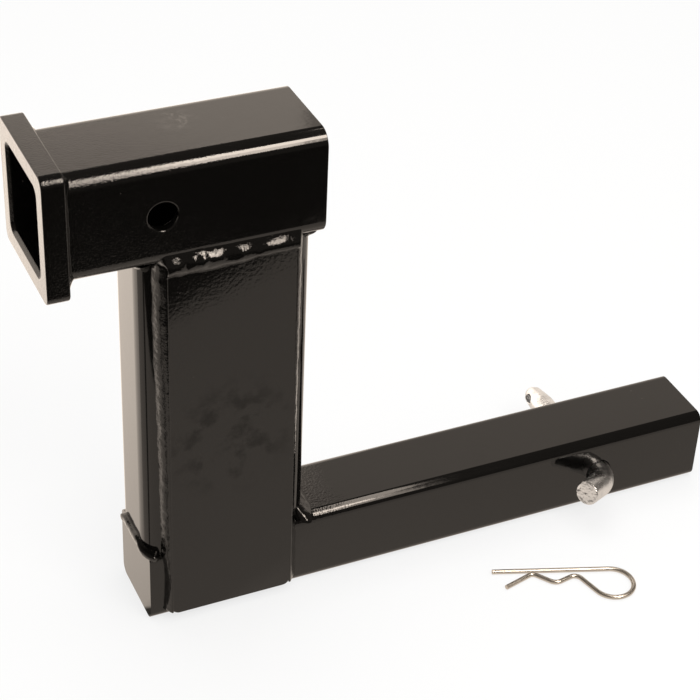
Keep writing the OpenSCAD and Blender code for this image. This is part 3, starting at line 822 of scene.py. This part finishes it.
rows, shares = foot_stations(-1, near_wrap=68, far_wrap=20, swell=1.6, drop=3)
bead("foot_left_bead", rows, shrunk_ends(SEAM_CROWN[::-1], shares, 83, 0.1),
     ["upright_foot_left_weld"], 83, lump=0.7 * MM)
rows, shares = foot_stations(1, near_wrap=62, far_wrap=30, swell=0.3, drop=1)
bead("foot_right_bead", rows, shrunk_ends(FILLET_CROWN[::-1], shares, 89, 0.12),
     ["upright_foot_right_weld"], 89, lump=0.9 * MM)

# The head beads are turned over, because they hang under the receiver
UNDER = np.array([1, 1, -1])
for name, sign_x, size, seed, stands_for in (
        ("head_left_bead", -1, 0.85, 97, "upright_top_left_weld"),
        ("head_right_bead", 1, 0.7, 101, "upright_top_right_weld")):
    rows, shares = foot_stations(sign_x, near_wrap=62, far_wrap=62, swell=0.2, drop=0)
    rows = [((place[0], place[1], seam_z), out, up * UNDER) for place, out, up in rows]
    bead(name, rows, shrunk_ends(FILLET_CROWN * size, shares, seed, 0.15), [stands_for],
         seed, lump=0.9 * MM)

# %% [markdown]
# ## The clip
#
# The clip is one bent wire. Its path is a row of straight moves and bends on the ground, and
# Geometry Nodes sweep a circle along it, because the wire follows a path.

# %% Clip path
# Start, turn and moves are the CAD's own, in mm and degrees
CLIP_START = (161.6, -63.4)
CLIP_TURN = -19.3
WIRE_RADIUS = 1.5
WIRE_SIDES = 24
BEND_STEP = 4
# Each move is (straight length, bend radius, bend angle), and the last one has no bend
CLIP_MOVES = [(74, 13.1, 237), (14.5, 5, -86.4), (7.6, 6, 64.6), (9.9, 4, -68.7), (18.9, 0, 0)]


def clip_path():
    """Points of the wire's centre line in mm, mirrored as the CAD's path is."""
    place, heading, points = np.array([0.0, 0.0]), 0.0, [np.array([0.0, 0.0])]
    for length, radius, turn in CLIP_MOVES:
        way = np.array([math.cos(heading), math.sin(heading)])
        place = place + way * length
        points.append(place)
        if turn:
            side = math.copysign(1, turn)
            centre = place + side * radius * np.array([-way[1], way[0]])
            count = int(abs(turn) / BEND_STEP)
            for k in range(1, count + 1):
                angle = heading + math.radians(turn) * k / count
                away = np.array([math.sin(angle), -math.cos(angle)])
                points.append(centre + side * radius * away)
            heading += math.radians(turn)
            place = points[-1]
    spin = math.radians(CLIP_TURN)
    flat = np.array(points) * (1, -1)
    x = flat[:, 0] * math.cos(spin) - flat[:, 1] * math.sin(spin) + CLIP_START[0]
    y = flat[:, 0] * math.sin(spin) + flat[:, 1] * math.cos(spin) + CLIP_START[1]
    return np.stack([x, y, np.full(len(x), WIRE_RADIUS)], 1)


print("the wire's path has", len(clip_path()), "points")


# %% Clip
def wire_tree():
    """Geometry Nodes: a round wire along a path, with a map along and round it."""
    tree, given = new_shaper("bent_wire", Radius="Float", Wire="Material")
    path = add_node(tree, "GeometryNodeMeshToCurve", {"Mesh": given["Geometry"]})
    ring = add_node(tree, "GeometryNodeCurvePrimitiveCircle", {
        "Resolution": WIRE_SIDES, "Radius": given["Radius"]})
    measured = []
    for curve, label in ((path, "wire_along"), (ring, "wire_round")):
        length = add_node(tree, "GeometryNodeSplineParameter").outputs["Length"]
        measured.append(add_node(tree, "GeometryNodeStoreNamedAttribute", {
            "Geometry": curve, "Name": label, "Value": length}))
    tube = add_node(tree, "GeometryNodeCurveToMesh", {
        "Curve": measured[0], "Profile Curve": measured[1], "Fill Caps": True})
    along, across = (add_node(tree, "GeometryNodeInputNamedAttribute", {"Name": label})
                     for label in ("wire_along", "wire_round"))
    both = add_node(tree, "ShaderNodeCombineXYZ", {"X": along, "Y": across})
    mapped = add_node(tree, "GeometryNodeStoreNamedAttribute", {
        "Geometry": tube, "Name": "wire_map", "Value": both},
        data_type="FLOAT2", domain="CORNER")
    end_shaper(tree, mapped, given["Wire"])
    return tree


def spring_clip():
    """The clip as one plain mesh, standing for its CAD piece."""
    points = clip_path()
    mesh = bpy.data.meshes.new("spring_clip")
    mesh.from_pydata((points * MM).tolist(), [(i, i + 1) for i in range(len(points) - 1)], [])
    piece = shaped("spring_clip", mesh, wire_tree(), Radius=WIRE_RADIUS * MM, Wire=wire_finish)
    for face in piece.data.polygons:
        face.use_smooth = len(face.vertices) == 4
    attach(piece, "hitch")
    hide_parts("pin_clip")
    # The photo's clip leaves no mirror image on the shank
    piece.visible_glossy = False
    print(piece.name, len(piece.data.polygons), "faces")


spring_clip()

# %% [markdown]
# ## The hitch pin
#
# The pin is a bent steel rod with a tapered tip, which has a cross hole for the clip. The CAD
# piece already has that shape, so it is finished as the tubes were, with a finer edge.

# %% Pin
finished_copy("hitch_pin", 0.3 * MM, zinc)

# %% [markdown]
# ## The studio
#
# Gloss black shows its surroundings, so the studio is set out as the photograph's was: white
# paper under and behind the object, which ends a short way in front of it, a pale wall that
# is lit up to about a metre, a dark room above, and long lamps overhead.

# %% Paper
PAPER_FRONT = 276 * MM
PAPER_SOFTNESS = 6 * MM
WARM_WHITE = "#fff0e1"
PAPER_GAIN = 2.5
DARK_FRONT = 0.08  # what a reflection finds in front of the paper
TOWARD_WAY = (math.sin(CAMERA_AZIMUTH), -math.cos(CAMERA_AZIMUTH), 0)
# Painted light: how brightly the paper glows in reflections along the way back to the wall:
# (metres, level)
BACK_WAY = (-0.6, 0.8, 0)
BACK_REACH = 0.5
PAPER_LEVELS = ((-0.5, 0.78), (-0.2, 0.78), (-0.07, 0.84), (0.0, 1.0), (0.06, 1.25),
                (0.22, 1.75), (0.5, 2.45))
# Painted shade on the paper's glow: it is duller in front of an edge through one corner point,
# and a painted shadow line, a dark wedge, starts at one point
SHADE_CORNER_OFFSET = (0.05, 0.017, 0)
SHADE_EDGE_WAY = (0.41, 0.91, 0)
SHADE_EDGE_SPAN = (-4 * MM, 8 * MM)
SHADE_LEVEL = 0.76
SHADOW_LINE_ACROSS = (-0.2, 0.98, 0)
SHADOW_LINE_ALONG = (-0.98, -0.2, 0)
SHADOW_LINE_START = 0.06
SHADOW_LINE_SLANT = (0.04, 0.09)
SHADOW_LINE_DARK = 0.1
SHADOW_SHARE = 0.25  # of the camera's view of the paper, the rest is plain white


def paper_brightness(tree, place):
    """The colour and the strength with which the paper glows in a reflection: painted light, with
    painted shade and a painted shadow line in it.
    """
    corner = add_node(tree, "ShaderNodeVectorMath", {0: place, 1: SHADE_CORNER_OFFSET}, operation="ADD")
    toward, behind, past_shade_edge, beside, along = (
        add_node(tree, "ShaderNodeVectorMath", {0: point, 1: way},
                 operation="DOT_PRODUCT").outputs["Value"]
        for point, way in ((place, TOWARD_WAY), (place, BACK_WAY), (corner, SHADE_EDGE_WAY),
                           (corner, SHADOW_LINE_ACROSS), (corner, SHADOW_LINE_ALONG)))
    edge = add_node(tree, "ShaderNodeMapRange", {
        "Value": toward, "From Min": PAPER_FRONT - PAPER_SOFTNESS,
        "From Max": PAPER_FRONT + PAPER_SOFTNESS, "To Min": PAPER_GAIN, "To Max": DARK_FRONT})
    bright = add_node(tree, "ShaderNodeValToRGB", {
        "Fac": add_node(tree, "ShaderNodeMapRange", {
            "Value": behind, "From Min": -BACK_REACH, "From Max": BACK_REACH})})
    ramp = bright.color_ramp
    ramp.elements.remove(ramp.elements[1])
    for i, (at, level) in enumerate(PAPER_LEVELS):
        step = ramp.elements[0] if i == 0 else ramp.elements.new(at + BACK_REACH)
        step.position = at + BACK_REACH
        step.color = linear(WARM_WHITE, level / PAPER_GAIN)
    # Painted shade: in front of the edge through the corner point, the glow falls to a lower
    # level
    shade_edge = add_node(tree, "ShaderNodeMapRange", {
        "Value": past_shade_edge, "From Min": SHADE_EDGE_SPAN[0], "From Max": SHADE_EDGE_SPAN[1]})
    with_painted_shade = add_node(tree, "ShaderNodeMix", {
        0: shade_edge, 6: linear(WARM_WHITE, SHADE_LEVEL / PAPER_GAIN), 7: bright}, data_type="RGBA")
    # Painted shadow: a dark wedge on the glow, which starts at one point and widens away from it
    off = add_node(tree, "ShaderNodeMath", {0: beside}, operation="ABSOLUTE")
    reach = add_node(tree, "ShaderNodeMath", {0: along, 1: SHADOW_LINE_START}, operation="MAXIMUM")
    slant = add_node(tree, "ShaderNodeMath", {0: off, 1: reach}, operation="DIVIDE")
    painted_shadow_line = add_node(tree, "ShaderNodeMapRange", {
        "Value": slant, "From Min": SHADOW_LINE_SLANT[0], "From Max": SHADOW_LINE_SLANT[1],
        "To Min": SHADOW_LINE_DARK, "To Max": 1.0})
    strength = add_node(tree, "ShaderNodeMath", {0: edge, 1: painted_shadow_line}, operation="MULTIPLY")
    return with_painted_shade.outputs[2], strength


def white_paper():
    """White paper: plain white to the camera, with the object's soft shadow on it."""
    material, tree = new_material("white_paper")
    rays = add_node(tree, "ShaderNodeLightPath").outputs
    place = add_node(tree, "ShaderNodeTexCoord").outputs["Object"]
    colour, strength = paper_brightness(tree, place)
    # Painted light: to glossy rays the paper is a glow of set brightness, not lit paper
    mirrored = add_node(tree, "ShaderNodeEmission", {"Color": colour, "Strength": strength})
    paper = add_node(tree, "ShaderNodeBsdfDiffuse", {"Color": linear("#f4f3f1")})
    white = add_node(tree, "ShaderNodeEmission", {"Color": WHITE, "Strength": 1.0})
    shaded = add_node(tree, "ShaderNodeMixShader", {0: SHADOW_SHARE, 1: white, 2: paper})
    seen = add_node(tree, "ShaderNodeMixShader", {0: rays["Is Camera Ray"], 1: paper, 2: shaded})
    whole = add_node(tree, "ShaderNodeMixShader", {
        0: rays["Is Glossy Ray"], 1: seen, 2: mirrored})
    add_node(tree, "ShaderNodeOutputMaterial", {"Surface": whole})
    return material


paper_finish = white_paper()
print("paper:", len(paper_finish.node_tree.nodes), "nodes")

# %% Floor
FLOOR_REACH = 6


def flat_panel(name, corners, material):
    """A four-cornered panel of the studio."""
    mesh = bpy.data.meshes.new(name)
    mesh.from_pydata(corners, [], [(0, 1, 2, 3)])
    mesh.materials.append(material)
    panel = add_object(name, mesh)
    return panel


floor = flat_panel("paper_floor", [(x * FLOOR_REACH, y * FLOOR_REACH, 0) for x, y in (
    (-1, -1), (1, -1), (1, 1), (-1, 1))], paper_finish)
print(floor.name, 2 * FLOOR_REACH, "m wide")

# %% [markdown]
# ## What the gloss mirrors
#
# The flat faces mirror the paper and the wall, and the round edges mirror the lamps as thin
# bright lines. Wall and lamps are panels that show in reflections only.

# %% Reflected panels
WALL_Y = 0.92
WALL_TOP = 0.985
WALL_SPLIT = 0.46
WALLS = (("wall_left", -2.0, WALL_SPLIT, 1.65), ("wall_right", WALL_SPLIT, 2.6, 0.92))
LAMP_HEIGHT = 1.5
LAMPS = (("lamp_near", ((0.235, -0.60), (0.315, -1.15), (0.77, -1.15), (0.66, -0.60)), 20),
         ("lamp_near_end", ((0.66, -0.60), (0.77, -1.15), (0.84, -1.15), (0.73, -0.60)), 4),
         ("lamp_far", ((0.315, -1.15), (0.50, -2.15), (0.94, -2.15), (0.66, -1.15)), 14),
         ("lamp_far_end", ((0.66, -1.15), (0.94, -2.15), (1.15, -2.15), (0.85, -1.15)), 4.5),
         ("lamp_side", ((0.56, 0.60), (0.56, -0.60), (0.70, -0.60), (0.70, 0.60)), 6))


def reflected_panel(name, corners, level):
    """A warm white panel that shines, and shows in reflections only."""
    material, tree = new_material(name)
    light = add_node(tree, "ShaderNodeEmission", {"Color": linear(WARM_WHITE), "Strength": level})
    add_node(tree, "ShaderNodeOutputMaterial", {"Surface": light})
    panel = flat_panel(name, corners, material)
    for ray in ("camera", "diffuse", "shadow", "transmission", "volume_scatter"):
        setattr(panel, "visible_" + ray, False)


for name, x0, x1, level in WALLS:
    reflected_panel(name, [(x0, WALL_Y, 0), (x1, WALL_Y, 0), (x1, WALL_Y, WALL_TOP),
                           (x0, WALL_Y, WALL_TOP)], level)
for name, corners, level in LAMPS:
    reflected_panel(name, [(x, y, LAMP_HEIGHT) for x, y in corners], level)
print("reflected panels:", len(WALLS) + len(LAMPS))

# %% [markdown]
# ## The room and its lamps
#
# The background is plain white to the camera and a dim warm room in reflections, and it fills
# the shadows softly. Two large lamps light the object and stay out of its reflections.

# %% Room
ROOM_LEVEL = 0.13
FILL_LEVEL = 0.6
world = bpy.data.worlds.new("studio")
bpy.context.scene.world = world
world.use_nodes = True
world.node_tree.nodes.clear()
rays = add_node(world.node_tree, "ShaderNodeLightPath").outputs
background, fill, room = (
    add_node(world.node_tree, "ShaderNodeBackground", {"Color": colour, "Strength": level})
    for colour, level in ((WHITE, 1.0), (WHITE, FILL_LEVEL), (linear(WARM_WHITE), ROOM_LEVEL)))
reflected = add_node(world.node_tree, "ShaderNodeMixShader", {
    0: rays["Is Glossy Ray"], 1: fill, 2: room})
seen = add_node(world.node_tree, "ShaderNodeMath", {
    0: rays["Is Camera Ray"], 1: rays["Is Transmission Ray"]}, operation="MAXIMUM")
sky = add_node(world.node_tree, "ShaderNodeMixShader", {0: seen, 1: reflected, 2: background})
add_node(world.node_tree, "ShaderNodeOutputWorld", {"Surface": sky})
print("room:", world.name)


# %% Lamps
def soft_lamp(name, place, aim, size, power):
    """A soft area lamp that lights, but isn't reflected."""
    data = bpy.data.lights.new(name, "AREA")
    data.shape = "RECTANGLE"
    data.size, data.size_y = size
    data.energy = power
    lamp = add_object(name, data)
    lamp.location = place
    lamp.rotation_mode = "QUATERNION"
    lamp.rotation_quaternion = (Vector(place) - Vector(aim)).to_track_quat("Z", "Y")
    lamp.visible_glossy = False
    print("lamp:", name, power, "W")


soft_lamp("key", place=(0.3, -1.2, 1.6), aim=(0.1, 0, 0.1), size=(1.2, 0.8), power=14)
soft_lamp("top", place=(0.1, 0.3, 2.0), aim=(0.1, 0, 0.0), size=(1.6, 1.6), power=16)
